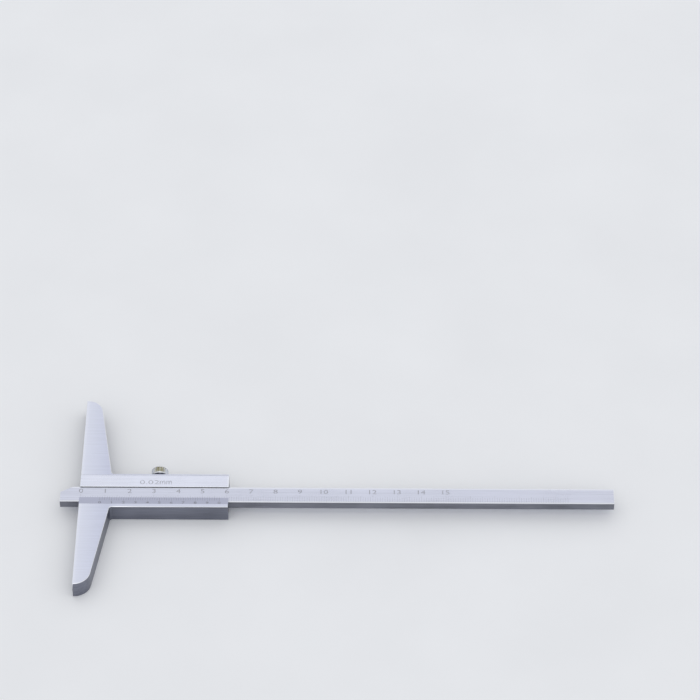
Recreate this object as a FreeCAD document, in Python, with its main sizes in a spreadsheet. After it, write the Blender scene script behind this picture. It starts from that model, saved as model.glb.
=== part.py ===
import FreeCAD, Part
import math
import os
import re

import Sketcher
from FreeCAD import Placement, Rotation, Vector

# Vernier depth gauge, in millimetres.
# The measuring face lies in the plane X = 0 and faces -X, the back face lies in Z = 0,
# and the origin is on their shared edge, on the centre line of the base.
# The slider body reaches along +X. The beam runs along X and its nose points to -X.
# The lock screw is on the +Y side. The graduated front faces +Z.

SIZES = [
    ("base_length", 100.0, "measuring base, from arm end to arm end"),
    ("base_thickness", 8.0, "base and body, from back face to front face"),
    ("arm_depth", 12.65, "arm, from the measuring face to its back edge, beside the body"),
    ("arm_end_flat", 0.42, "flat end of an arm, beside the measuring face"),
    ("arm_end_radius", 6.6, "round corner between an arm's flat end and its back edge"),
    ("root_radius", 1.2, "hollow corner between an arm and the body"),
    ("body_length", 61.2, "body, from the measuring face to its far end"),
    ("body_width", 18.0, "body, across the beam"),
    ("edge_break", 0.2, "chamfer around the front and the back of the base"),
    ("slide_clearance", 0.05, "running gap between the beam and each part that guides it"),
    ("beam_length", 227.5, "beam, end to end"),
    ("beam_width", 8.0, "beam, across"),
    ("beam_thickness", 3.9, "beam, front to back"),
    ("beam_offset", 1.68, "beam's centre line below the centre line of the body"),
    ("beam_recess", 0.4, "beam's front face below the front of the body"),
    ("beam_reach", 8.0, "beam's nose beyond the measuring face"),
    ("beam_chamfer", 0.25, "chamfer along the beam's long front edges"),
    ("nose_length", 5.3, "cut corner of the nose, along the beam"),
    ("nose_depth", 3.0, "cut corner of the nose, across the beam"),
    ("gib_thickness", 1.0, "gib strip, across"),
    ("gib_end_gap", 1.5, "gib strip's end, in from each end of the body"),
    ("gib_screw_radius", 1.0, "gib screw's thread"),
    ("gib_screw_inset", 0.2, "gib screw's slotted end, below the edge of the body"),
    ("gib_point_radius", 0.5, "plain point of a gib screw"),
    ("gib_dimple_depth", 0.3, "dimple in the gib strip under a screw's point"),
    ("lock_place", 32.3, "lock screw's axis, from the measuring face"),
    ("cross_screw_rise", 0.85, "axes of the lock and gib screws, above the floor of the channel"),
    ("cross_hole_runout", 0.3, "holes for those screws, beyond the wall into the channel's floor"),
    ("lock_thread_radius", 1.5, "lock screw's thread"),
    ("lock_head_radius", 3.4, "lock screw's knurled head"),
    ("lock_head_length", 3.7, "lock screw's knurled head, along its axis"),
    ("lock_head_chamfer", 0.45, "chamfer at the inner end of the knurled head"),
    ("lock_head_crown", 0.7, "chamfer at the outer end of the knurled head"),
    ("lock_neck_gap", 1.2, "gap between the body and the head while the lock is released"),
    ("lock_spigot_radius", 0.6, "turned-down tip that carries the pad"),
    ("lock_spigot_length", 0.9, "turned-down tip, along its axis"),
    ("pad_length", 1.5, "pressure pad, along its axis"),
    ("pad_release", 0.3, "gap between the released pad and the gib strip"),
    ("pad_clearance", 0.08, "gap around the pad in its bore"),
    ("cover_rail", 0.7, "rail of the body outside the cover strip"),
    ("cover_overlap", 0.4, "cover strip's lip over the edge of the beam"),
    ("cover_seat_depth", 1.4, "seat of the cover strip, below the front of the body"),
    ("cover_proud", 0.1, "cover strip's front, above the front of the body"),
    ("cover_side_gap", 0.05, "gap between the cover strip's edge and the step beside it"),
    ("cover_screw_margin", 5.5, "outer cover screw's axis, in from each end of the body"),
    ("cover_screw_spread", 9.5, "inner cover screw's axis, to each side of the lock screw"),
    ("cover_screw_radius", 1.0, "cover screw's thread"),
    ("cover_screw_grip", 1.0, "cover screw's thread inside the cover strip"),
    ("cover_screw_hole_gap", 0.15, "gap around a cover screw in the base"),
    ("cover_tap_extra", 0.2, "depth of a tapped hole beyond the end of its screw"),
    ("screw_head_radius", 1.9, "countersunk head of a cover screw"),
    ("screw_head_inset", 0.1, "countersunk head, below the back face"),
    ("screw_slot_width", 0.5, "driving slot of the small screws"),
    ("screw_slot_depth", 0.45, "driving slot of the small screws"),
    ("thread_clearance", 0.03, "gap around each thread and each seated cone or point"),
    ("vernier_overlap", 1.95, "vernier strip's bevel over the beam"),
    ("vernier_rail", 1.67, "rail of the body outside the vernier strip"),
    ("vernier_edge", 0.12, "thickness of the vernier strip's reading edge"),
    ("vernier_side_gap", 0.03, "bond line between the vernier strip and the step beside it"),
]

# How far a cut runs on past the surface that it starts from.
CUT_MARGIN = "1"
# How closely an edge must lie to where it is looked for.
TOLERANCE = 1e-4

# Heights above the back face.
BEAM_FRONT = "(base_thickness - beam_recess)"
BEAM_BACK = f"({BEAM_FRONT} - beam_thickness)"
CHANNEL_FLOOR = f"({BEAM_BACK} - slide_clearance)"
CROSS_SCREW_HEIGHT = f"({CHANNEL_FLOOR} + cross_screw_rise)"
GUARD_UNDERSIDE = f"({BEAM_FRONT} + slide_clearance)"
COVER_SEAT = "(base_thickness - cover_seat_depth)"

# Places across the gauge, positive towards the lock screw.
BEAM_LOW_EDGE = "(0 - beam_offset - beam_width / 2)"
BEAM_HIGH_EDGE = "(beam_width / 2 - beam_offset)"
CHANNEL_LOW_WALL = f"({BEAM_LOW_EDGE} - slide_clearance)"
GIB_LOW_FACE = f"({BEAM_HIGH_EDGE} + slide_clearance)"
GIB_HIGH_FACE = f"({GIB_LOW_FACE} + gib_thickness)"
CHANNEL_HIGH_WALL = f"({GIB_HIGH_FACE} + slide_clearance)"
COVER_LOW_EDGE = f"({BEAM_HIGH_EDGE} - cover_overlap)"
COVER_HIGH_EDGE = "(body_width / 2 - cover_rail - cover_side_gap)"
VERNIER_HIGH_EDGE = f"({BEAM_LOW_EDGE} + vernier_overlap)"
VERNIER_LOW_EDGE = "(vernier_rail + vernier_side_gap - body_width / 2)"
PAD_FACE = f"({GIB_HIGH_FACE} + pad_release)"
LOCK_TIP = f"({PAD_FACE} + pad_length + thread_clearance)"

# Places along the body. Each gib screw is midway between two cover screws.
COVER_SCREW_PLACES = [
    "cover_screw_margin",
    "(lock_place - cover_screw_spread)",
    "(lock_place + cover_screw_spread)",
    "(body_length - cover_screw_margin)",
]
GIB_SCREW_PLACES = [
    f"(({COVER_SCREW_PLACES[0]} + {COVER_SCREW_PLACES[1]}) / 2)",
    f"(({COVER_SCREW_PLACES[2]} + {COVER_SCREW_PLACES[3]}) / 2)",
]
COVER_SCREW_LINE = f"(({CHANNEL_HIGH_WALL} + {COVER_HIGH_EDGE}) / 2)"

document = FreeCAD.newDocument("depth_gauge")
sheet = document.addObject("Spreadsheet::Sheet", "Sizes")


def fill_sheet():
    """Write each driving dimension and its meaning into a row of the sheet."""
    for row, (alias, size, meaning) in enumerate(SIZES, start=1):
        sheet.set(f"A{row}", meaning)
        sheet.set(f"B{row}", str(size))
        sheet.setAlias(f"B{row}", alias)
    document.recompute()


def expression(formula):
    """The formula as FreeCAD reads it, with each size taken from the sheet."""
    return re.sub(r"\b([a-z]+(?:_[a-z]+)+)\b", r"Sizes.\1", formula)


def value(formula):
    """What the formula comes to, as a number."""
    return float(sheet.evalExpression(expression(formula)))


def new_body(name):
    """An empty body that will be written under this name."""
    body = document.addObject("PartDesign::Body", name)
    body.Label = name
    return body


def new_sketch(body, name, role, offset="0"):
    """A sketch on one of the body's own planes, moved along that plane's normal."""
    sketch = body.newObject("Sketcher::SketchObject", f"{body.Name}_{name}")
    plane = [item for item in body.Origin.OriginFeatures if item.Role == role][0]
    sketch.AttachmentSupport = [(plane, "")]
    sketch.MapMode = "FlatFace"
    sketch.setExpression("AttachmentOffset.Base.z", expression(offset))
    return sketch


def dimension(sketch, kind, *details):
    """Add a constraint whose last detail is a formula, and bind it to the sheet."""
    *places, formula = details
    number = sketch.addConstraint(Sketcher.Constraint(kind, *places, value(formula)))
    sketch.setExpression(f"Constraints[{number}]", expression(formula))


def pin(sketch, edge, point, across, up):
    """Fix a point of the sketch at two formulas from the sketch's origin."""
    dimension(sketch, "DistanceX", -1, 1, edge, point, across)
    dimension(sketch, "DistanceY", -1, 1, edge, point, up)


def polygon(sketch, corners):
    """A closed outline of straight lines through corners given as pairs of formulas."""
    points = [Vector(value(across), value(up), 0) for across, up in corners]
    for number, point in enumerate(points):
        following = points[(number + 1) % len(points)]
        sketch.addGeometry(Part.LineSegment(point, following))
    for number, (across, up) in enumerate(corners):
        following = (number + 1) % len(corners)
        sketch.addConstraint(Sketcher.Constraint("Coincident", number, 2, following, 1))
        pin(sketch, number, 1, across, up)


def circle(sketch, across, up, radius):
    """A circle whose centre and radius are formulas."""
    centre = Vector(value(across), value(up), 0)
    edge = sketch.addGeometry(Part.Circle(centre, Vector(0, 0, 1), value(radius)))
    pin(sketch, edge, 3, across, up)
    dimension(sketch, "Radius", edge, radius)


def rectangle(sketch, left, right, low, high):
    """A rectangle between four formulas."""
    polygon(sketch, [(left, low), (right, low), (right, high), (left, high)])


def pad(body, sketch, length):
    """Raise a sketch along its plane's normal by a formula."""
    feature = body.newObject("PartDesign::Pad", f"{sketch.Name}_pad")
    feature.Profile = sketch
    feature.setExpression("Length", expression(length))
    sketch.Visibility = False
    document.recompute()
    return feature


def pocket(body, sketch, length=None, along_normal=False):
    """Cut a sketch into the body, to a depth or right through, and see that it cut."""
    before = body.Shape.Volume
    feature = body.newObject("PartDesign::Pocket", f"{sketch.Name}_pocket")
    feature.Profile = sketch
    feature.Reversed = along_normal
    if length is None:
        feature.Type = "ThroughAll"
    else:
        feature.setExpression("Length", expression(length))
    sketch.Visibility = False
    document.recompute()
    if body.Shape.Volume > before - TOLERANCE:
        raise RuntimeError(f"{feature.Name} cut nothing")
    return feature


def revolve(body, sketch):
    """Turn a half profile once around the sketch's upright axis."""
    feature = body.newObject("PartDesign::Revolution", f"{sketch.Name}_turned")
    feature.Profile = sketch
    feature.ReferenceAxis = (sketch, ["V_Axis"])
    feature.Angle = 360
    sketch.Visibility = False
    document.recompute()
    return feature


def chamfer(body, base, name, chosen, size):
    """Chamfer the edges of a feature that a test picks out."""
    edges = base.Shape.Edges
    picked = [f"Edge{number}" for number, edge in enumerate(edges, start=1) if chosen(edge)]
    feature = body.newObject("PartDesign::Chamfer", f"{body.Name}_{name}")
    feature.Base = (base, picked)
    feature.setExpression("Size", expression(size))
    document.recompute()
    return feature


def lies_at(edge, axis, place):
    """Whether a whole edge lies in one plane across the given axis."""
    box = edge.BoundBox
    low, high = {"x": (box.XMin, box.XMax), "z": (box.ZMin, box.ZMax)}[axis]
    return abs(low - place) < TOLERANCE and abs(high - place) < TOLERANCE


def slot(body, low, high):
    """A straight driving slot across a screw's axis, between two heights on that axis."""
    half_width = "screw_slot_width / 2"
    cut = new_sketch(body, "slot", "XZ_Plane")
    rectangle(cut, f"0 - {half_width}", half_width, low, high)
    feature = pocket(body, cut)
    feature.Midplane = True
    document.recompute()


def stand_across(body, place):
    """Turn a screw's own upright axis to +Y and carry it to its place on the body."""
    body.Placement = Placement(Vector(0, 0, 0), Rotation(Vector(1, 0, 0), -90))
    body.setExpression("Placement.Base.x", expression(place))
    body.setExpression("Placement.Base.z", expression(CROSS_SCREW_HEIGHT))


def draw_half_outline(sketch):
    """The base's outline on the lock screw's side: measuring face, arm, root and body."""
    reach, depth = value("base_length / 2"), value("arm_depth")
    end_radius, root = value("arm_end_radius"), value("root_radius")
    body_edge, body_end = value("body_width / 2"), value("body_length")
    end_x, end_y = value("arm_end_flat"), reach - end_radius
    across, along = depth - end_x, end_y - body_edge
    taper = math.atan2(across, along) - math.asin(end_radius / math.hypot(across, along))
    root_x = depth + root * (1 - math.sin(taper)) / math.cos(taper)
    upright = Vector(0, 0, 1)
    across_edge = Vector(math.cos(taper), math.sin(taper), 0)
    end_centre, root_centre = Vector(end_x, end_y, 0), Vector(root_x, body_edge + root, 0)
    arm_end = end_centre + across_edge * end_radius
    arm_foot = root_centre - across_edge * root
    end_circle = Part.Circle(end_centre, upright, end_radius)
    root_circle = Part.Circle(root_centre, upright, root)

    face = sketch.addGeometry(Part.LineSegment(Vector(0, 0, 0), Vector(0, reach, 0)))
    flat = sketch.addGeometry(Part.LineSegment(Vector(0, reach, 0), Vector(end_x, reach, 0)))
    corner = sketch.addGeometry(Part.ArcOfCircle(end_circle, taper, math.pi / 2))
    back = sketch.addGeometry(Part.LineSegment(arm_end, arm_foot))
    hollow = sketch.addGeometry(
        Part.ArcOfCircle(root_circle, math.pi + taper, 1.5 * math.pi)
    )
    top = sketch.addGeometry(
        Part.LineSegment(Vector(root_x, body_edge, 0), Vector(body_end, body_edge, 0))
    )
    far = sketch.addGeometry(
        Part.LineSegment(Vector(body_end, body_edge, 0), Vector(body_end, 0, 0))
    )
    middle = sketch.addGeometry(Part.LineSegment(Vector(body_end, 0, 0), Vector(0, 0, 0)))
    knee = sketch.addGeometry(Part.Point(Vector(depth, body_edge, 0)), True)

    for kind, *places in [
        ("Coincident", face, 1, -1, 1),
        ("Coincident", face, 2, flat, 1),
        ("Tangent", flat, 2, corner, 2),
        ("Tangent", corner, 1, back, 1),
        ("Tangent", back, 2, hollow, 1),
        ("Tangent", hollow, 2, top, 1),
        ("Coincident", top, 2, far, 1),
        ("Coincident", far, 2, middle, 1),
        ("Coincident", middle, 2, face, 1),
        ("Vertical", face),
        ("Horizontal", flat),
        ("Horizontal", top),
        ("Vertical", far),
        ("Horizontal", middle),
        ("PointOnObject", knee, 1, back),
    ]:
        sketch.addConstraint(Sketcher.Constraint(kind, *places))
    dimension(sketch, "DistanceY", face, 1, face, 2, "base_length / 2")
    dimension(sketch, "DistanceX", flat, 1, flat, 2, "arm_end_flat")
    dimension(sketch, "Radius", corner, "arm_end_radius")
    dimension(sketch, "Radius", hollow, "root_radius")
    dimension(sketch, "DistanceX", middle, 2, middle, 1, "body_length")
    dimension(sketch, "DistanceY", far, 2, far, 1, "body_width / 2")
    pin(sketch, knee, 1, "arm_depth", "body_width / 2")


def make_base_frame():
    """The one-piece base and slider body, with the beam's channel and the screws' holes."""
    body = new_body("base_frame")
    outline = new_sketch(body, "half_outline", "XY_Plane")
    draw_half_outline(outline)
    half = pad(body, outline, "base_thickness")
    whole = body.newObject("PartDesign::Mirrored", "base_frame_both_arms")
    whole.Originals = [half]
    mirror = [item for item in body.Origin.OriginFeatures if item.Role == "XZ_Plane"][0]
    whole.MirrorPlane = (mirror, [""])
    whole.Refine = True
    body.Tip = whole
    document.recompute()
    front = value("base_thickness")
    chamfer(
        body, whole, "edge_breaks",
        lambda edge: lies_at(edge, "z", 0) or lies_at(edge, "z", front), "edge_break",
    )
    cut_channel(body)
    cut_cover_screw_holes(body)
    cut_cross_holes(body)
    return body


def cut_channel(body):
    """The beam's channel along the body, with a seat for each strip beside it."""
    vernier_step = f"{VERNIER_LOW_EDGE} - vernier_side_gap"
    cover_step = f"{COVER_HIGH_EDGE} + cover_side_gap"
    above = f"base_thickness + {CUT_MARGIN}"
    section = new_sketch(body, "channel", "YZ_Plane", f"0 - {CUT_MARGIN}")
    polygon(section, [
        (vernier_step, above),
        (vernier_step, GUARD_UNDERSIDE),
        (CHANNEL_LOW_WALL, GUARD_UNDERSIDE),
        (CHANNEL_LOW_WALL, CHANNEL_FLOOR),
        (CHANNEL_HIGH_WALL, CHANNEL_FLOOR),
        (CHANNEL_HIGH_WALL, COVER_SEAT),
        (cover_step, COVER_SEAT),
        (cover_step, above),
    ])
    pocket(body, section, f"body_length + 2 * {CUT_MARGIN}", along_normal=True)


def cut_cover_screw_holes(body):
    """Countersunk clearance holes from the back face up to the cover strip's seat."""
    holes = new_sketch(body, "cover_screw_holes", "XY_Plane")
    radius = "cover_screw_radius + cover_screw_hole_gap"
    for place in COVER_SCREW_PLACES:
        circle(holes, place, COVER_SCREW_LINE, radius)
    drilled = pocket(body, holes, along_normal=True)

    def is_rim(edge):
        return lies_at(edge, "z", 0) and edge.Curve.TypeId == "Part::GeomCircle" and edge.isClosed()

    chamfer(
        body, drilled, "countersinks", is_rim,
        f"screw_head_radius + screw_head_inset + thread_clearance - ({radius})",
    )


def cut_cross_holes(body):
    """Tapped holes for the lock and gib screws, from the body's edge into the channel."""
    inner_end = f"({CHANNEL_HIGH_WALL} - cross_hole_runout)"
    holes = new_sketch(body, "cross_holes", "XZ_Plane", f"0 - {inner_end}")
    circle(holes, "lock_place", CROSS_SCREW_HEIGHT, "lock_thread_radius + thread_clearance")
    for place in GIB_SCREW_PLACES:
        circle(holes, place, CROSS_SCREW_HEIGHT, "gib_screw_radius + thread_clearance")
    pocket(body, holes)


def make_cover_strip():
    """The strip along the front that holds the beam's upper edge and the gib in."""
    body = new_body("cover_strip")
    front = "base_thickness + cover_proud"
    section = new_sketch(body, "section", "YZ_Plane")
    polygon(section, [
        (COVER_LOW_EDGE, GUARD_UNDERSIDE),
        (CHANNEL_HIGH_WALL, GUARD_UNDERSIDE),
        (CHANNEL_HIGH_WALL, COVER_SEAT),
        (COVER_HIGH_EDGE, COVER_SEAT),
        (COVER_HIGH_EDGE, front),
        (COVER_LOW_EDGE, front),
    ])
    pad(body, section, "body_length")
    holes = new_sketch(body, "tapped_holes", "XY_Plane", COVER_SEAT)
    for place in COVER_SCREW_PLACES:
        circle(holes, place, COVER_SCREW_LINE, "cover_screw_radius + thread_clearance")
    pocket(body, holes, "cover_screw_grip + cover_tap_extra", along_normal=True)
    return body


def make_vernier_strip():
    """The bevelled strip that carries the vernier scale down to the beam's face."""
    body = new_body("vernier_strip")
    section = new_sketch(body, "section", "YZ_Plane")
    polygon(section, [
        (VERNIER_LOW_EDGE, GUARD_UNDERSIDE),
        (VERNIER_HIGH_EDGE, GUARD_UNDERSIDE),
        (VERNIER_HIGH_EDGE, f"{GUARD_UNDERSIDE} + vernier_edge"),
        (VERNIER_LOW_EDGE, "base_thickness"),
    ])
    pad(body, section, "body_length")
    return body


def make_beam():
    """The graduated measuring beam, with one corner of its nose cut away."""
    body = new_body("beam")
    nose, end = "0 - beam_reach", "beam_length - beam_reach"
    outline = new_sketch(body, "outline", "XY_Plane", BEAM_BACK)
    polygon(outline, [
        (nose, BEAM_LOW_EDGE),
        (end, BEAM_LOW_EDGE),
        (end, BEAM_HIGH_EDGE),
        (f"{nose} + nose_length", BEAM_HIGH_EDGE),
        (nose, f"{BEAM_HIGH_EDGE} - nose_depth"),
    ])
    blank = pad(body, outline, "beam_thickness")
    front = value(BEAM_FRONT)

    def is_long_front_edge(edge):
        return lies_at(edge, "z", front) and edge.BoundBox.XLength > value("beam_length") / 2

    chamfer(body, blank, "long_edges", is_long_front_edge, "beam_chamfer")
    return body


def make_gib_strip():
    """The thin strip that the side screws press against the beam's upper edge."""
    body = new_body("gib_strip")
    section = new_sketch(body, "side", "XZ_Plane", f"0 - {GIB_HIGH_FACE}")
    rectangle(
        section, "gib_end_gap", "body_length - gib_end_gap",
        f"{CHANNEL_FLOOR} + 2 * slide_clearance", f"{GUARD_UNDERSIDE} - 2 * slide_clearance",
    )
    pad(body, section, "gib_thickness")
    dimples = new_sketch(body, "dimples", "XZ_Plane", f"0 - {GIB_HIGH_FACE}")
    for place in GIB_SCREW_PLACES:
        circle(dimples, place, CROSS_SCREW_HEIGHT, "gib_point_radius + thread_clearance")
    pocket(body, dimples, "gib_dimple_depth", along_normal=True)
    return body


def make_gib_screw(number, place):
    """A slotted set screw whose plain point sits in a dimple of the gib strip."""
    body = new_body(f"gib_screw_{number}")
    point = f"({GIB_HIGH_FACE} - gib_dimple_depth + thread_clearance)"
    shoulder = f"({CHANNEL_HIGH_WALL} + thread_clearance)"
    outer_end = "(body_width / 2 - gib_screw_inset)"
    profile = new_sketch(body, "profile", "XZ_Plane")
    polygon(profile, [
        ("0", point),
        ("gib_point_radius", point),
        ("gib_point_radius", shoulder),
        ("gib_screw_radius", shoulder),
        ("gib_screw_radius", outer_end),
        ("0", outer_end),
    ])
    revolve(body, profile)
    slot(body, f"{outer_end} - screw_slot_depth", f"{outer_end} + {CUT_MARGIN}")
    stand_across(body, place)
    return body


def make_cover_screw(number, place):
    """A slotted countersunk screw that comes through the base into the cover strip."""
    body = new_body(f"cover_screw_{number}")
    cone = "(screw_head_radius - cover_screw_radius)"
    shank_end = f"({COVER_SEAT} - screw_head_inset + cover_screw_grip)"
    profile = new_sketch(body, "profile", "XZ_Plane")
    polygon(profile, [
        ("0", "0"),
        ("screw_head_radius", "0"),
        ("cover_screw_radius", cone),
        ("cover_screw_radius", shank_end),
        ("0", shank_end),
    ])
    revolve(body, profile)
    slot(body, f"0 - {CUT_MARGIN}", "screw_slot_depth")
    body.setExpression("Placement.Base.x", expression(place))
    body.setExpression("Placement.Base.y", expression(COVER_SCREW_LINE))
    body.setExpression("Placement.Base.z", expression("screw_head_inset"))
    document.recompute()
    return body


def make_lock_pad():
    """The brass pad that turns on the lock screw's tip and presses the gib strip."""
    body = new_body("lock_pad")
    inner, outer = PAD_FACE, f"({PAD_FACE} + pad_length)"
    socket_radius = "(lock_spigot_radius + thread_clearance)"
    socket_floor = f"({LOCK_TIP} - lock_spigot_length - thread_clearance)"
    radius = "(lock_thread_radius + thread_clearance - pad_clearance)"
    profile = new_sketch(body, "profile", "XZ_Plane")
    polygon(profile, [
        ("0", inner),
        (radius, inner),
        (radius, outer),
        (socket_radius, outer),
        (socket_radius, socket_floor),
        ("0", socket_floor),
    ])
    revolve(body, profile)
    stand_across(body, "lock_place")
    return body


def make_lock_screw():
    """The lock screw: tip for the pad, thread, and a knurled head clear of the body."""
    body = new_body("lock_screw")
    tip = f"({LOCK_TIP} - lock_spigot_length)"
    head_start = "(body_width / 2 + lock_neck_gap)"
    head_end = f"({head_start} + lock_head_length)"
    inner_rim = "(lock_head_radius - lock_head_chamfer)"
    outer_rim = "(lock_head_radius - lock_head_crown)"
    profile = new_sketch(body, "profile", "XZ_Plane")
    polygon(profile, [
        ("0", tip),
        ("lock_spigot_radius", tip),
        ("lock_spigot_radius", LOCK_TIP),
        ("lock_thread_radius", LOCK_TIP),
        ("lock_thread_radius", head_start),
        (inner_rim, head_start),
        ("lock_head_radius", f"{head_start} + lock_head_chamfer"),
        ("lock_head_radius", f"{head_end} - lock_head_crown"),
        (outer_rim, head_end),
        ("0", head_end),
    ])
    revolve(body, profile)
    stand_across(body, "lock_place")
    return body


def make_parts():
    """Every piece of the gauge, in the order in which it goes together."""
    parts = [make_base_frame(), make_beam(), make_gib_strip()]
    for number, place in enumerate(GIB_SCREW_PLACES, start=1):
        parts.append(make_gib_screw(number, place))
    parts += [make_cover_strip(), make_vernier_strip()]
    for number, place in enumerate(COVER_SCREW_PLACES, start=1):
        parts.append(make_cover_screw(number, place))
    parts += [make_lock_pad(), make_lock_screw()]
    return parts


def check_and_write(parts):
    """Stop at any failed object, then write each piece to a file of its own."""
    document.recompute()
    for item in document.Objects:
        if "Invalid" in item.State or "Error" in item.State:
            raise RuntimeError(f"{item.Name} failed: {item.State}")
    for part in parts:
        if part.Shape.isNull() or not part.Shape.isValid():
            raise RuntimeError(f"{part.Label} has no valid shape")
    os.makedirs("parts", exist_ok=True)
    for part in parts:
        part.Shape.exportStep(f"parts/{part.Label}.step")
        box = part.Shape.BoundBox
        print(
            f"{part.Label:15s} {part.Shape.Volume:10.2f} mm3  "
            f"x {box.XMin:.2f} {box.XMax:.2f}  y {box.YMin:.2f} {box.YMax:.2f}  "
            f"z {box.ZMin:.2f} {box.ZMax:.2f}"
        )


fill_sheet()
check_and_write(make_parts())
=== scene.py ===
import math

import bmesh
import bpy
from mathutils import Matrix, Vector


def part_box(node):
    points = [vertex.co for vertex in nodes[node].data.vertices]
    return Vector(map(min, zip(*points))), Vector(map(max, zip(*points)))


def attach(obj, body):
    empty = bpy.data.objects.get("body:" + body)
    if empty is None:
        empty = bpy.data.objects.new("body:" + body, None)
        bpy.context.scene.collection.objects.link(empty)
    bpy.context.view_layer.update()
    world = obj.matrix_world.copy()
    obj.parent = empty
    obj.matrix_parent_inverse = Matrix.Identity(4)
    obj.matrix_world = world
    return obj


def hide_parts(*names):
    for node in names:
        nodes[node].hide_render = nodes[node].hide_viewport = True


# Vernier depth gauge, in metres. The measuring face is in x = 0 and the beam runs along x.
# The gauge lies on its back, z = 0, with the lock screw on the +y side.

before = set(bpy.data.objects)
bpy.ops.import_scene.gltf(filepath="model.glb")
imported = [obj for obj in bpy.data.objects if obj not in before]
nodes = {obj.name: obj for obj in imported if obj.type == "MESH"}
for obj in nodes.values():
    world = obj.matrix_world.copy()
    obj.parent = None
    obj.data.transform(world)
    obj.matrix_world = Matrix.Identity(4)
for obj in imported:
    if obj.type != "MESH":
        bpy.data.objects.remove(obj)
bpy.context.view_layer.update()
MM = 0.001

# Points nearer than this are one point.
MERGE = 0.0005 * MM
# Radius of the edges of the base, the beam and the cover strip, and of everything smaller.
BASE_EDGE = 0.12 * MM
BEAM_EDGE = 0.2 * MM
COVER_EDGE = 0.18 * MM
FINE_EDGE = 0.04 * MM
# A face smaller than this belongs to a hole or a slot.
SMALL_FACE = 1.0 * MM * MM
# Faces that meet at less than this are one surface.
FLAT_ANGLE = math.radians(0.5)
# An edge sharper than this is rounded.
SHARP_ANGLE = math.radians(28)

# Ground metal: the size of its marks across and along the grain.
GRAIN = (0.13 * MM, 9 * MM)
STREAK = (0.9 * MM, 45 * MM)
SCRATCH = (0.08 * MM, 22 * MM)
SCRATCH_SLANT = math.radians(4)
CLOUD = 14 * MM
# A scratch is this much brighter than the metal, and its colour covers this share of it.
SCRATCH_SHINE = 1.15
SCRATCH_SHARE = 0.35
# Colour of the painted highlight on upward-sloped rounded edges; the fades add it too.
EDGE_HIGHLIGHT = (0.89, 0.91, 0.95)
# An upright wall's grain is this much stronger than a front face's.
WALL_CONTRAST = 3.5
# A face is told by how much of its direction lies along an axis: an end face along x, and
# a slope and a front face along z. Between the two values of a pair it blends.
END_FACE = (0.5, 0.7)
SLOPE = (0.04, 0.2)
FRONT_FACE = (0.95, 0.99)
# Size of the patches of wear on a screw.
WEAR_PATCH = 1.1 * MM

# Filled engraving: how far it stands above the metal, and how deep it goes.
INK_PROUD = 0.012 * MM
INK_DEEP = 0.03 * MM

# Main scale, on the beam's front.
SCALE_ZERO = 0.5 * MM
SCALE_LENGTH = 200
SCALE_LINE_WIDTH = 0.08 * MM
SCALE_LINE_FOOT = 0.35 * MM
SCALE_LINE_HEIGHTS = {10: 3.35 * MM, 5: 2.85 * MM, 1: 2.35 * MM}
SCALE_LAST_NUMBER = 15
SCALE_NUMBER_HEIGHT = 2.2 * MM
SCALE_NUMBER_MIDDLE = 5.6 * MM
SCALE_NUMBER_STRETCH = 1.25
# How much a letter's outline grows, as a share of its size.
SCALE_NUMBER_WEIGHT = -0.004

# Vernier scale, on the bevel: 50 divisions over 49 mm.
VERNIER_ZERO = 8.5 * MM
VERNIER_DIVISION = 0.98 * MM
VERNIER_DIVISIONS = 50
VERNIER_LINE_WIDTH = 0.12 * MM
VERNIER_LINE_LENGTHS = {5: 1.87 * MM, 1: 1.6 * MM}
VERNIER_NUMBER_EVERY = 5
VERNIER_NUMBER_HEIGHT = 1.25 * MM
VERNIER_NUMBER_MIDDLE = 2.88 * MM
VERNIER_NUMBER_STRETCH = 1.5
VERNIER_NUMBER_WEIGHT = 0.01

# Unit mark on the cover strip: words, middle, height, length and added weight of stroke.
UNIT_MARK = (
    ("0.02", (28.5 * MM, 4.35 * MM), 2.2 * MM, 7.9 * MM, -0.008),
    ("mm", (35.2 * MM, 4.2 * MM), 1.9 * MM, 5.0 * MM, 0.008),
)

# Lock screw: straight knurl with four points to a tooth, and a crown in steps of degrees.
KNURL_TEETH = 20
KNURL_POINTS = 4 * KNURL_TEETH
KNURL_DEPTH = 0.3 * MM
KNURL_RUNOUT = 0.06 * MM
HEAD_CHAMFER = 0.45 * MM
HEAD_CROWN = 0.7 * MM
HEAD_CROWN_STEP = 18
HEAD_LENGTH = 3.7 * MM
NECK_FILLET = 0.25 * MM
END_RECESS_RADIUS = 1.3 * MM
END_RECESS_DEPTH = 0.35 * MM
END_RECESS_SLOPE = 0.15 * MM

# Lock screw: M3 thread, with the ridge's foot sunk in the core, and the tip.
THREAD_RADIUS = 1.5 * MM
THREAD_CORE = 1.22 * MM
THREAD_SUNK = 0.05 * MM
THREAD_PITCH = 0.5 * MM
THREAD_HALF_FOOT = 0.44 * THREAD_PITCH
THREAD_HALF_CREST = 0.07 * THREAD_PITCH
THREAD_STEPS_A_TURN = 24
SPIGOT_RADIUS = 0.6 * MM
SPIGOT_LENGTH = 0.9 * MM
SPIGOT_CHAMFER = 0.1 * MM

# Studio: what the softboxes aim at, and each one's place, width, depth and radiance.
STUDIO_MIDDLE = (0.1, 0, 0)
SOFTBOXES = {
    "softbox_behind": ((0.1, 1.0, 1.15), 2.2, 1.5, 0.28),
    "softbox_front": ((0.1, -1.15, 1.25), 0.7, 0.5, 1.5),
}
SKY_COLOUR = (0.97, 0.98, 1.0, 1)
SKY_STRENGTH = 0.8
# Half the floor's width, and how far it lies below the gauge.
FLOOR_HALF = 6
FLOOR_DROP = 0.02 * MM

# Camera: a long lens.
LENS_WIDTH = 36
LENS_LENGTH = 168.7
CAMERA_PLACE = (0.11689, -0.8916, 1.0206)
CAMERA_TILT = math.radians(43.83)
CAMERA_TURN = math.radians(0.3726)


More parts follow.
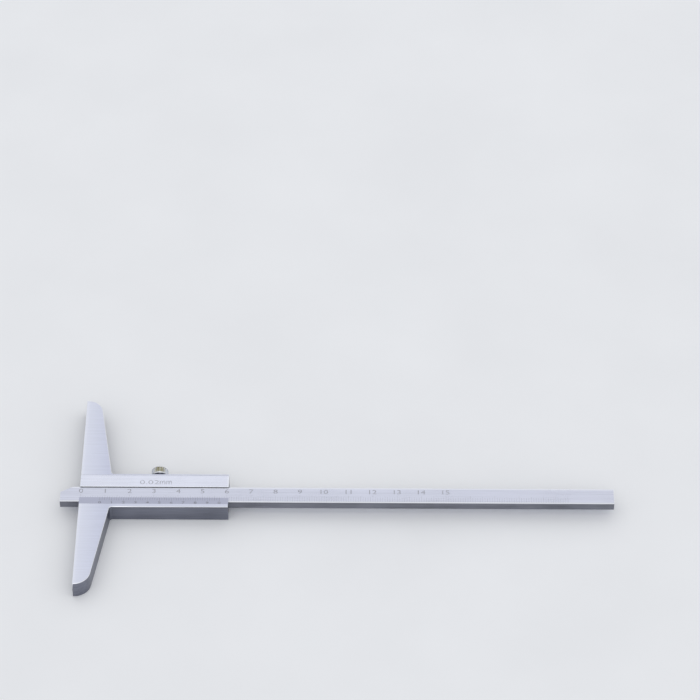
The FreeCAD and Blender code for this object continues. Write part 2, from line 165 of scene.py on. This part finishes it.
def stand_in(mesh, name, body, node, material):
    """Make a shaped mesh a piece that rides on a body in place of a CAD node."""
    data = bpy.data.meshes.new(name)
    mesh.to_mesh(data)
    mesh.free()
    data.materials.append(material)
    piece = bpy.data.objects.new(name, data)
    bpy.context.scene.collection.objects.link(piece)
    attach(piece, body)
    if node:
        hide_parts(node)
    return piece


def shade_by_area(piece):
    """Shade rounded edges smoothly while the large faces stay flat."""
    for face in piece.data.polygons:
        face.use_smooth = True
    normals = piece.modifiers.new("normals", "WEIGHTED_NORMAL")
    normals.mode = "FACE_AREA"
    normals.weight = 100


def round_edges(mesh, edges, radius):
    """Round these edges, as far as the faces beside them leave room."""
    bmesh.ops.bevel(
        mesh, geom=edges, offset=radius, segments=2, profile=0.5,
        affect="EDGES", material=-1, clamp_overlap=True,
    )


def rounded_copy(node, radius):
    """A CAD node's mesh with its points merged and its sharp edges rounded."""
    mesh = bmesh.new()
    mesh.from_mesh(nodes[node].data)
    bmesh.ops.remove_doubles(mesh, verts=mesh.verts, dist=MERGE)
    bmesh.ops.dissolve_limit(
        mesh, angle_limit=FLAT_ANGLE, verts=mesh.verts, edges=mesh.edges
    )
    sharp = [edge for edge in mesh.edges if edge.calc_face_angle(0) > SHARP_ANGLE]
    small = [edge for edge in sharp if smallest_side(edge) < SMALL_FACE]
    round_edges(mesh, [edge for edge in sharp if edge not in small], radius)
    left = [edge for edge in small if edge.is_valid]
    round_edges(mesh, left, min(radius, FINE_EDGE))
    return mesh


def smallest_side(edge):
    """The area of the smaller face beside an edge."""
    return min(face.calc_area() for face in edge.link_faces)


class Finish:
    """One material, with short ways to add the nodes that it needs."""

    def __init__(self, name, sockets):
        self.material = bpy.data.materials.new(name)
        self.material.use_nodes = True
        self.tree = self.material.node_tree
        self.shader = self.tree.nodes["Principled BSDF"]
        for socket, value in sockets.items():
            self.shader.inputs[socket].default_value = value
        self.coordinates = self.add("ShaderNodeTexCoord")
        self.place = self.coordinates.outputs["Object"]

    def add(self, kind, **settings):
        """A new node with its settings."""
        node = self.tree.nodes.new(kind)
        for name, value in settings.items():
            setattr(node, name, value)
        return node

    def join(self, source, target):
        """Link an output, or set a number, on an input."""
        if isinstance(source, bpy.types.NodeSocket):
            self.tree.links.new(source, target)
        else:
            target.default_value = source

    def noise(self, grain, detail=2.0, turn=0.0):
        """Noise whose grain is given in metres along x, y and z."""
        mapping = self.add("ShaderNodeMapping")
        mapping.inputs["Scale"].default_value = [1 / size for size in grain]
        mapping.inputs["Rotation"].default_value = (0, 0, turn)
        self.join(self.place, mapping.inputs["Vector"])
        noise = self.add("ShaderNodeTexNoise")
        noise.inputs["Scale"].default_value = 1
        noise.inputs["Detail"].default_value = detail
        self.join(mapping.outputs["Vector"], noise.inputs["Vector"])
        return noise.outputs["Fac"]

    def sum(self, *shares):
        """Noises added up, each times its own share."""
        total = 0.0
        for source, share in shares:
            node = self.add("ShaderNodeMath", operation="MULTIPLY_ADD")
            self.join(source, node.inputs[0])
            self.join(share, node.inputs[1])
            self.join(total, node.inputs[2])
            total = node.outputs["Value"]
        return total

    def scaled(self, source, low, high, to_low, to_high):
        """A value carried from one range to another."""
        node = self.add("ShaderNodeMapRange")
        for number, value in enumerate((source, low, high, to_low, to_high)):
            self.join(value, node.inputs[number])
        return node.outputs["Result"]

    def colours(self, source, *stops):
        """A colour for each value, from (value, colour) stops."""
        node = self.add("ShaderNodeValToRGB")
        ramp = node.color_ramp
        while len(ramp.elements) < len(stops):
            ramp.elements.new(1)
        for element, (position, colour) in zip(ramp.elements, stops):
            element.position = position
            element.color = (*colour, 1)
        self.join(source, node.inputs["Fac"])
        return node.outputs["Color"]

    def blend(self, share, first, second):
        """The second colour over the first one, by a share."""
        node = self.add("ShaderNodeMix", data_type="RGBA")
        self.join(share, node.inputs[0])
        self.join(first, node.inputs[6])
        self.join(second, node.inputs[7])
        return node.outputs[2]

    def part(self, source, axis):
        """One axis of the object's own coordinates or normal."""
        parts = self.add("ShaderNodeSeparateXYZ")
        self.join(self.coordinates.outputs[source], parts.inputs["Vector"])
        return parts.outputs[axis]

    def radius(self, centre):
        """The distance from an axis that runs along y through a point."""
        mapping = self.add("ShaderNodeMapping")
        mapping.inputs["Location"].default_value = (-centre.x, 0, -centre.z)
        mapping.inputs["Scale"].default_value = (1, 0, 1)
        self.join(self.place, mapping.inputs["Vector"])
        length = self.add("ShaderNodeVectorMath", operation="LENGTH")
        self.join(mapping.outputs["Vector"], length.inputs[0])
        return length.outputs["Value"]

    def facing(self, axis):
        """One on faces that look straight along an axis, and zero on those beside it."""
        size = self.add("ShaderNodeMath", operation="ABSOLUTE")
        self.join(self.part("Normal", axis), size.inputs[0])
        return size.outputs["Value"]

    def bump(self, height, depth):
        """Raise the surface by a height that runs from 0 to 1, times a depth."""
        node = self.add("ShaderNodeBump")
        node.inputs["Strength"].default_value = 1
        node.inputs["Distance"].default_value = depth
        self.join(height, node.inputs["Height"])
        self.join(node.outputs["Normal"], self.shader.inputs["Normal"])


def times(colour, factor):
    """A colour made lighter or darker."""
    return tuple(min(part * factor, 1.0) for part in colour)


def even(size):
    """A grain of one size along x, y and z."""
    return size, size, size


def ground_metal(
    name, colour, roughness, contrast=0.06, wall_shade=0.7, bevelled=False, fades=()
):
    """Ground metal with grain, streaks and scratches, painted shade on walls and painted
    highlight on edges.

    wall_shade is how much of the colour the upright faces keep, as painted shade. A fade is an
    axis, where it is strongest and where it ends, and how much of the painted highlight's colour
    it adds.
    """
    finish = Finish(name, {"Metallic": 1.0})
    ends = finish.scaled(finish.facing("X"), *END_FACE, 0, 1)

    def ground(size, detail=2.0, turn=0.0):
        """Marks that run along the beam, and across it on the faces at the ends."""
        across, along = size
        lengthwise = finish.noise((along, across, across), detail, turn)
        crosswise = finish.noise((across, along, across), detail, turn)
        return finish.scaled(ends, 0, 1, lengthwise, crosswise)

    fine = ground(GRAIN, detail=3)
    streaks = ground(STREAK)
    cloud = finish.noise(even(CLOUD))
    scratches = ground(SCRATCH, detail=1, turn=SCRATCH_SLANT)
    tone = finish.sum((fine, 0.45), (streaks, 0.3), (cloud, 0.25))

    def graded(level, swing):
        """The grain's colours, around a share of the metal's own colour."""
        return finish.colours(
            tone,
            (0.38, times(colour, level * (1 - swing))),
            (0.5, times(colour, level)),
            (0.62, times(colour, level * (1 + swing))),
        )

    scratched = finish.scaled(scratches, 0.66, 0.74, 0, SCRATCH_SHARE)
    shine = (*times(colour, SCRATCH_SHINE), 1)
    marks_and_painted_light = finish.blend(scratched, graded(1, contrast), shine)
    # Each fade paints a highlight by position along an axis.
    for axis, near, far, share in fades:
        highlight_share = finish.scaled(finish.part("Object", axis), near, far, share, 0)
        marks_and_painted_light = finish.blend(highlight_share, marks_and_painted_light, (*EDGE_HIGHLIGHT, 1))
    # Upward-sloped rounded edges get the painted highlight colour, unless bevelled keeps the
    # marked metal there.
    sloped = marks_and_painted_light if bevelled else (*EDGE_HIGHLIGHT, 1)
    # Upright walls keep only this share of the colour: painted shade.
    wall = graded(wall_shade, WALL_CONTRAST * contrast)
    slopes = finish.scaled(finish.part("Normal", "Z"), *SLOPE, 0, 1)
    fronts = finish.scaled(finish.facing("Z"), *FRONT_FACE, 0, 1)
    faced = finish.blend(fronts, finish.blend(slopes, wall, sloped), marks_and_painted_light)
    finish.join(faced, finish.shader.inputs["Base Color"])
    sheen = finish.sum((fine, 0.5), (cloud, 0.5))
    rough = finish.scaled(sheen, 0.35, 0.65, roughness - 0.05, roughness + 0.06)
    finish.join(rough, finish.shader.inputs["Roughness"])
    finish.bump(finish.sum((fine, 0.8), (scratches, 0.2)), 0.002 * MM)
    return finish.material


def patchy_wear(finish, fine):
    """How worn a screw is, in patches and in its fine grain."""
    patches = finish.noise(even(WEAR_PATCH), detail=3)
    return finish.sum((fine, 0.4), (patches, 0.6))


def worn_metal(name, colour, worn, roughness, grain):
    """Turned or blackened metal with bright wear in patches and a fine grain."""
    finish = Finish(name, {"Metallic": 1.0})
    fine = finish.noise(even(grain), detail=4)
    wear = patchy_wear(finish, fine)
    tone = finish.colours(wear, (0.42, times(colour, 0.85)), (0.52, colour), (0.66, worn))
    finish.join(tone, finish.shader.inputs["Base Color"])
    rough = finish.scaled(wear, 0.4, 0.65, roughness + 0.08, roughness - 0.06)
    finish.join(rough, finish.shader.inputs["Roughness"])
    finish.bump(fine, 0.006 * MM)
    return finish.material


def knurled_nickel(centre, radius, low, high):
    """Nickel plate worn to brass on the knurl's top with painted shade in its valleys, and
    polished outside the knurl.
    """
    finish = Finish("nickel_brass", {"Metallic": 1.0})
    fine = finish.noise((0.15 * MM, 0.5 * MM, 0.15 * MM), detail=4)
    brass = finish.colours(
        patchy_wear(finish, fine),
        (0.4, (0.34, 0.32, 0.21)), (0.52, (0.44, 0.42, 0.30)), (0.66, (0.66, 0.65, 0.58)),
    )
    valley_shade, dull_plate, bright_plate = (
        (0.07, 0.07, 0.05, 1), (0.62, 0.65, 0.72, 1), (0.74, 0.75, 0.78, 1),
    )
    reach = finish.radius(centre)
    # Painted shade darkens the knurl's valleys on the head's upper side.
    valley = finish.scaled(reach, radius - KNURL_DEPTH, radius - 0.4 * KNURL_DEPTH, 0.6, 0)
    worn = finish.blend(valley, brass, valley_shade)
    rise = finish.part("Object", "Z")
    top = finish.scaled(rise, centre.z + 0.55 * radius, centre.z + 0.92 * radius, 0, 1)
    knurl = finish.blend(top, dull_plate, worn)
    along = finish.part("Object", "Y")
    below = finish.scaled(along, low, low + KNURL_RUNOUT, 1, 0)
    above = finish.scaled(along, high - KNURL_RUNOUT, high, 0, 1)
    polish = finish.sum((below, 1), (above, 1))
    tone = finish.blend(polish, knurl, bright_plate)
    finish.join(tone, finish.shader.inputs["Base Color"])
    finish.join(finish.scaled(polish, 0, 1, 0.34, 0.16), finish.shader.inputs["Roughness"])
    finish.bump(fine, 0.005 * MM)
    return finish.material


def scale_ink(name, colour):
    """Filling of the engraved lines, a little uneven from wear."""
    finish = Finish(name, {"Specular IOR Level": 0.3})
    wear = finish.noise(even(0.25 * MM), detail=3)
    tone = finish.colours(
        wear, (0.35, times(colour, 0.7)), (0.55, colour), (0.7, times(colour, 1.8))
    )
    finish.join(tone, finish.shader.inputs["Base Color"])
    finish.join(finish.scaled(wear, 0.3, 0.7, 0.5, 0.75), finish.shader.inputs["Roughness"])
    return finish.material


def pale_floor():
    """Matt off-white floor."""
    finish = Finish("pale_floor", {"Specular IOR Level": 0.15, "Roughness": 0.9})
    cloud = finish.noise(even(60 * MM), detail=3)
    tone = finish.colours(cloud, (0.3, (0.86, 0.87, 0.89)), (0.7, (0.89, 0.90, 0.92)))
    finish.join(tone, finish.shader.inputs["Base Color"])
    return finish.material


# Arms: painted shade on the walls; a painted highlight strongest at the measuring face x = 0 and
# gone by 11 mm, and a faint one from x = 12 mm on.
arm_steel = ground_metal(
    "arm_steel", (0.538, 0.562, 0.68), 0.34, contrast=0.065, wall_shade=0.4,
    fades=[
        ("X", 0, 11 * MM, 0.34), ("X", 0, 1.6 * MM, 0.2), ("X", 16 * MM, 12 * MM, 0.13),
    ],
)
# Cover strip: deep painted shade on its walls, which darkens the line under its lip, and a
# painted highlight at its right end.
bright_steel = ground_metal(
    "bright_steel", (0.67, 0.69, 0.785), 0.27, contrast=0.07, wall_shade=0.15,
    fades=[("X", 61 * MM, 60.4 * MM, 0.4)],
)
# Beam: painted shade on its walls, and painted light on its band from y = 1.3 mm up, where the
# cover strip's lip shades it.
beam_steel = ground_metal(
    "beam_steel", (0.578, 0.596, 0.69), 0.31, contrast=0.075, wall_shade=0.38,
    fades=[("Y", 1.55 * MM, 1.3 * MM, 0.4)],
)
satin_chrome = ground_metal(
    "satin_chrome", (0.432, 0.447, 0.55), 0.42, contrast=0.04, bevelled=True
)
rolled_bronze = ground_metal("rolled_bronze", (0.60, 0.40, 0.20), 0.36, contrast=0.1)
turned_brass = worn_metal("turned_brass", (0.68, 0.50, 0.24), (0.80, 0.66, 0.40), 0.3, 0.12 * MM)
screw_steel = worn_metal("screw_steel", (0.09, 0.09, 0.10), (0.42, 0.43, 0.46), 0.36, 0.1 * MM)
beam_ink = scale_ink("beam_ink", (0.36, 0.365, 0.41))
vernier_ink = scale_ink("vernier_ink", (0.25, 0.255, 0.30))
worn_ink = scale_ink("worn_ink", (0.47, 0.48, 0.54))


def add_line(mesh, place, across, low, high, width):
    """One filled line of a scale, on the plane that a matrix gives."""
    thick = INK_PROUD + INK_DEEP
    middle = Matrix.Translation((across, (low + high) / 2, (INK_PROUD - INK_DEEP) / 2))
    size = Matrix.Diagonal((width, high - low, thick, 1))
    bmesh.ops.create_cube(mesh, size=1, matrix=place @ middle @ size)


def add_words(mesh, place, words, middle, height, weight, stretch=1.0, length=None):
    """Filled lettering on the plane that a matrix gives, centred on a point of it."""
    curve = bpy.data.curves.new("words", "FONT")
    curve.body = words
    curve.resolution_u = 3
    curve.offset = weight
    # Half a unit each way, so that the letters are one unit thick before they are scaled.
    curve.extrude = 0.5
    source = bpy.data.objects.new("words", curve)
    bpy.context.scene.collection.objects.link(source)
    bpy.context.view_layer.update()
    shapes = bpy.context.evaluated_depsgraph_get()
    letters = bpy.data.meshes.new_from_object(source.evaluated_get(shapes))
    bpy.data.objects.remove(source)
    corners = [vertex.co for vertex in letters.vertices]
    low = Vector([min(corner[axis] for corner in corners) for axis in range(3)])
    high = Vector([max(corner[axis] for corner in corners) for axis in range(3)])
    scale = height / (high.y - low.y)
    widen = length / (high.x - low.x) if length else scale * stretch
    size = Matrix.Diagonal((widen, scale, INK_PROUD + INK_DEEP, 1))
    centre = Matrix.Translation(-(low + high) / 2)
    spot = Matrix.Translation((middle[0], middle[1], (INK_PROUD - INK_DEEP) / 2))
    letters.transform(place @ spot @ size @ centre)
    mesh.from_mesh(letters)


def line_kind(number, lengths):
    """The length of a scale's line, from the largest step that its number fits."""
    return next(lengths[step] for step in sorted(lengths, reverse=True) if number % step == 0)


def finish_marks(mesh, name, body, ink):
    """Close the marks' shared edges and let them ride on a body."""
    bmesh.ops.remove_doubles(mesh, verts=mesh.verts, dist=MERGE)
    stand_in(mesh, name, body, None, ink)


def make_main_scale():
    """Millimetre lines and centimetre numbers along the beam."""
    low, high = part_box("beam")
    place = Matrix.Translation((SCALE_ZERO, low.y, high.z))
    lines = bmesh.new()
    foot = SCALE_LINE_FOOT
    for number in range(SCALE_LENGTH + 1):
        height = line_kind(number, SCALE_LINE_HEIGHTS)
        add_line(lines, place, number * MM, foot, foot + height, SCALE_LINE_WIDTH)
    finish_marks(lines, "main_scale_lines", "sliding_beam", beam_ink)
    numbers = bmesh.new()
    for number in range(SCALE_LAST_NUMBER + 1):
        middle = (number * 10 * MM, SCALE_NUMBER_MIDDLE)
        add_words(
            numbers, place, str(number), middle, SCALE_NUMBER_HEIGHT, SCALE_NUMBER_WEIGHT,
            stretch=SCALE_NUMBER_STRETCH,
        )
    finish_marks(numbers, "main_scale_numbers", "sliding_beam", beam_ink)


def bevel_place():
    """The vernier strip's bevel as a plane, with its reading edge in y = 0."""
    edge = max(
        (vertex.co for vertex in nodes["vernier_strip"].data.vertices),
        key=lambda point: (round(point.y, 6), point.z),
    )
    low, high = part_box("vernier_strip")
    slope = math.atan2(high.z - edge.z, edge.y - low.y)
    return Matrix.Translation((VERNIER_ZERO, edge.y, edge.z)) @ Matrix.Rotation(-slope, 4, "X")


def make_vernier_scale():
    """Fifty divisions down from the reading edge, and a number at every fifth."""
    place = bevel_place()
    lines = bmesh.new()
    numbers = bmesh.new()
    for number in range(VERNIER_DIVISIONS + 1):
        across = number * VERNIER_DIVISION
        length = line_kind(number, VERNIER_LINE_LENGTHS)
        add_line(lines, place, across, -length, 0, VERNIER_LINE_WIDTH)
        if number % VERNIER_NUMBER_EVERY == 0:
            middle = (across, -VERNIER_NUMBER_MIDDLE)
            words = str(number // VERNIER_NUMBER_EVERY % 10)
            add_words(
                numbers, place, words, middle, VERNIER_NUMBER_HEIGHT, VERNIER_NUMBER_WEIGHT,
                stretch=VERNIER_NUMBER_STRETCH,
            )
    finish_marks(lines, "vernier_lines", "gauge_body", vernier_ink)
    finish_marks(numbers, "vernier_numbers", "gauge_body", vernier_ink)


def make_unit_mark():
    """The reading of one vernier division, on the cover strip."""
    mesh = bmesh.new()
    place = Matrix.Translation((0, 0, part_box("cover_strip")[1].z))
    for words, middle, height, length, weight in UNIT_MARK:
        add_words(mesh, place, words, middle, height, weight, length=length)
    finish_marks(mesh, "unit_mark", "gauge_body", worn_ink)


def ring_radii(radius, depth):
    """The radius of each point round the knurled head, four to a tooth."""
    tooth = (radius, radius, radius - depth, radius - depth)
    return tooth * KNURL_TEETH


def add_turned(mesh, profile, axis_point):
    """Spin a profile of (radius, height) pairs once around the screw's axis."""
    points = [
        mesh.verts.new(axis_point + Vector((radius, height, 0))) for radius, height in profile
    ]
    edges = [mesh.edges.new(pair) for pair in zip(points, points[1:])]
    bmesh.ops.spin(
        mesh, geom=points + edges, cent=axis_point, axis=(0, 1, 0),
        angle=math.tau, steps=KNURL_POINTS, use_merge=True,
    )


def add_knurled_head(mesh, centre, start, crest):
    """The knurled head from its inner rim to its outer rim, with open ends."""
    crown = start + HEAD_LENGTH - HEAD_CROWN
    stations = [
        (start, crest - HEAD_CHAMFER, 0),
        (start + HEAD_CHAMFER, crest, 0),
        (start + HEAD_CHAMFER + KNURL_RUNOUT, crest, KNURL_DEPTH),
        (crown - KNURL_RUNOUT, crest, KNURL_DEPTH),
    ]
    for turn in range(0, 91, HEAD_CROWN_STEP):
        rise, inset = math.sin(math.radians(turn)), 1 - math.cos(math.radians(turn))
        stations.append((crown + HEAD_CROWN * rise, crest - HEAD_CROWN * inset, 0))
    upright = Matrix.Translation(centre) @ Matrix.Rotation(-math.pi / 2, 4, "X")
    made = bmesh.ops.create_circle(
        mesh, cap_ends=False, segments=KNURL_POINTS, radius=crest, matrix=upright
    )
    ring = made["verts"]
    for number, (height, reach, depth) in enumerate(stations):
        if number:
            grown = bmesh.ops.extrude_edge_only(mesh, edges=edges_round(ring))["geom"]
            ring = [item for item in grown if isinstance(item, bmesh.types.BMVert)]
        ring = sorted(ring, key=lambda vertex: angle_round(vertex.co, centre))
        for vertex, radius in zip(ring, ring_radii(reach, depth)):
            around = angle_round(vertex.co, centre)
            vertex.co = Vector((
                centre.x + radius * math.sin(around), height, centre.z + radius * math.cos(around)
            ))


def edges_round(ring):
    """The open edges that join a ring of points, each once and in the ring's order."""
    beside = (edge for vertex in ring for edge in vertex.link_edges)
    return [
        edge for edge in dict.fromkeys(beside)
        if not edge.is_manifold and all(vertex in ring for vertex in edge.verts)
    ]


def angle_round(point, centre):
    """The angle of a point around the screw's axis, from 0 to a full turn."""
    return math.atan2(point.x - centre.x, point.z - centre.z) % math.tau


def add_thread(mesh, centre, start, end):
    """A right-hand thread as one ridge that winds along the screw."""
    turns = (end - start - THREAD_PITCH) / THREAD_PITCH
    steps = round(turns * THREAD_STEPS_A_TURN)
    foot = THREAD_CORE - THREAD_SUNK
    middle = start + THREAD_PITCH / 2
    corners = [
        (foot, middle - THREAD_HALF_FOOT), (THREAD_RADIUS, middle - THREAD_HALF_CREST),
        (THREAD_RADIUS, middle + THREAD_HALF_CREST), (foot, middle + THREAD_HALF_FOOT),
    ]
    points = [
        mesh.verts.new(Vector((centre.x, height, centre.z + radius)))
        for radius, height in corners
    ]
    face = mesh.faces.new(points)
    bmesh.ops.spin(
        mesh, geom=[face, *face.edges, *points], cent=centre, axis=(0, 1, 0),
        dvec=(0, THREAD_PITCH / THREAD_STEPS_A_TURN, 0),
        angle=math.tau * steps / THREAD_STEPS_A_TURN, steps=steps, use_merge=False,
    )


def make_lock_screw():
    """Knurled head, neck, thread and the turned-down tip that carries the pad."""
    low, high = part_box("lock_screw")
    centre = Vector(((low.x + high.x) / 2, 0, (low.z + high.z) / 2))
    crest = (high.x - low.x) / 2
    head_start = high.y - HEAD_LENGTH
    shoulder = low.y + SPIGOT_LENGTH
    mesh = bmesh.new()
    add_knurled_head(mesh, centre, head_start, crest)
    add_turned(mesh, [
        (0, low.y),
        (SPIGOT_RADIUS - SPIGOT_CHAMFER, low.y),
        (SPIGOT_RADIUS, low.y + SPIGOT_CHAMFER),
        (SPIGOT_RADIUS, shoulder),
        (THREAD_CORE, shoulder),
        (THREAD_CORE, head_start - NECK_FILLET),
        (THREAD_CORE + NECK_FILLET, head_start),
        (crest - HEAD_CHAMFER, head_start),
    ], centre)
    add_turned(mesh, [
        (crest - HEAD_CROWN, high.y),
        (END_RECESS_RADIUS + END_RECESS_SLOPE, high.y),
        (END_RECESS_RADIUS, high.y - END_RECESS_DEPTH),
        (0, high.y - END_RECESS_DEPTH),
    ], centre)
    bmesh.ops.remove_doubles(mesh, verts=mesh.verts, dist=MERGE)
    add_thread(mesh, centre, shoulder, head_start)
    bmesh.ops.recalc_face_normals(mesh, faces=mesh.faces)
    nickel = knurled_nickel(centre, crest, head_start + HEAD_CHAMFER, high.y - HEAD_CROWN)
    piece = stand_in(
        mesh, "knurled_lock_screw", "locking_screw", "lock_screw", nickel
    )
    shade_by_area(piece)


def make_finished_parts():
    """Stand-ins with rounded edges for the CAD nodes whose edges show."""
    main = [
        ("base_frame", "ground_base", BASE_EDGE, "gauge_body", "ground_steel", arm_steel),
        ("beam", "graduated_beam", BEAM_EDGE, "sliding_beam", "beam_steel", beam_steel),
        ("cover_strip", "bright_cover", COVER_EDGE, "gauge_body", "bright_steel", bright_steel),
        ("vernier_strip", "vernier_plate", FINE_EDGE, "gauge_body", "satin_chrome", satin_chrome),
    ]
    screws = [
        (node, f"{node}_blackened", FINE_EDGE, "gauge_body", "dark_screw_steel", screw_steel)
        for node in nodes
        if node.startswith(("cover_screw", "gib_screw"))
    ]
    for node, name, radius, body, slot, material in main + screws:
        piece = stand_in(rounded_copy(node, radius), name, body, node, material)
        shade_by_area(piece)


def finish_inner_parts():
    """Finishes of the pieces inside that stay as they are in CAD."""
    for node, material in (("gib_strip", rolled_bronze), ("lock_pad", turned_brass)):
        nodes[node].data.materials.clear()
        nodes[node].data.materials.append(material)


def softbox(name, centre, width, depth, radiance):
    """A rectangular light that shines from its centre towards the gauge."""
    lamp = bpy.data.lights.new(name, "AREA")
    lamp.shape = "RECTANGLE"
    lamp.size = width
    lamp.size_y = depth
    lamp.energy = radiance * math.pi * width * depth
    light = bpy.data.objects.new(name, lamp)
    light.location = centre
    towards = Vector(STUDIO_MIDDLE) - Vector(centre)
    light.rotation_euler = towards.to_track_quat("-Z", "Y").to_euler()
    bpy.context.scene.collection.objects.link(light)


def make_studio():
    """Pale floor, even light all round, a large softbox behind and a small one in front."""
    mesh = bmesh.new()
    below = Matrix.Translation((0, 0, -FLOOR_DROP))
    bmesh.ops.create_grid(mesh, x_segments=1, y_segments=1, size=FLOOR_HALF, matrix=below)
    data = bpy.data.meshes.new("floor")
    mesh.to_mesh(data)
    mesh.free()
    data.materials.append(pale_floor())
    floor = bpy.data.objects.new("floor", data)
    bpy.context.scene.collection.objects.link(floor)
    world = bpy.data.worlds.new("studio")
    world.use_nodes = True
    sky = world.node_tree.nodes["Background"]
    sky.inputs["Color"].default_value = SKY_COLOUR
    sky.inputs["Strength"].default_value = SKY_STRENGTH
    bpy.context.scene.world = world
    for name, settings in SOFTBOXES.items():
        softbox(name, *settings)


def make_camera():
    """A long lens, looking along +y and 46 degrees down."""
    lens = bpy.data.cameras.new("camera")
    lens.sensor_width = LENS_WIDTH
    lens.lens = LENS_LENGTH
    camera = bpy.data.objects.new("camera", lens)
    camera.location = CAMERA_PLACE
    camera.rotation_euler = (CAMERA_TILT, 0, CAMERA_TURN)
    bpy.context.scene.collection.objects.link(camera)
    bpy.context.scene.camera = camera


make_finished_parts()
make_lock_screw()
finish_inner_parts()
make_main_scale()
make_vernier_scale()
make_unit_mark()
make_studio()
make_camera()
bpy.context.scene.view_settings.view_transform = "Standard"
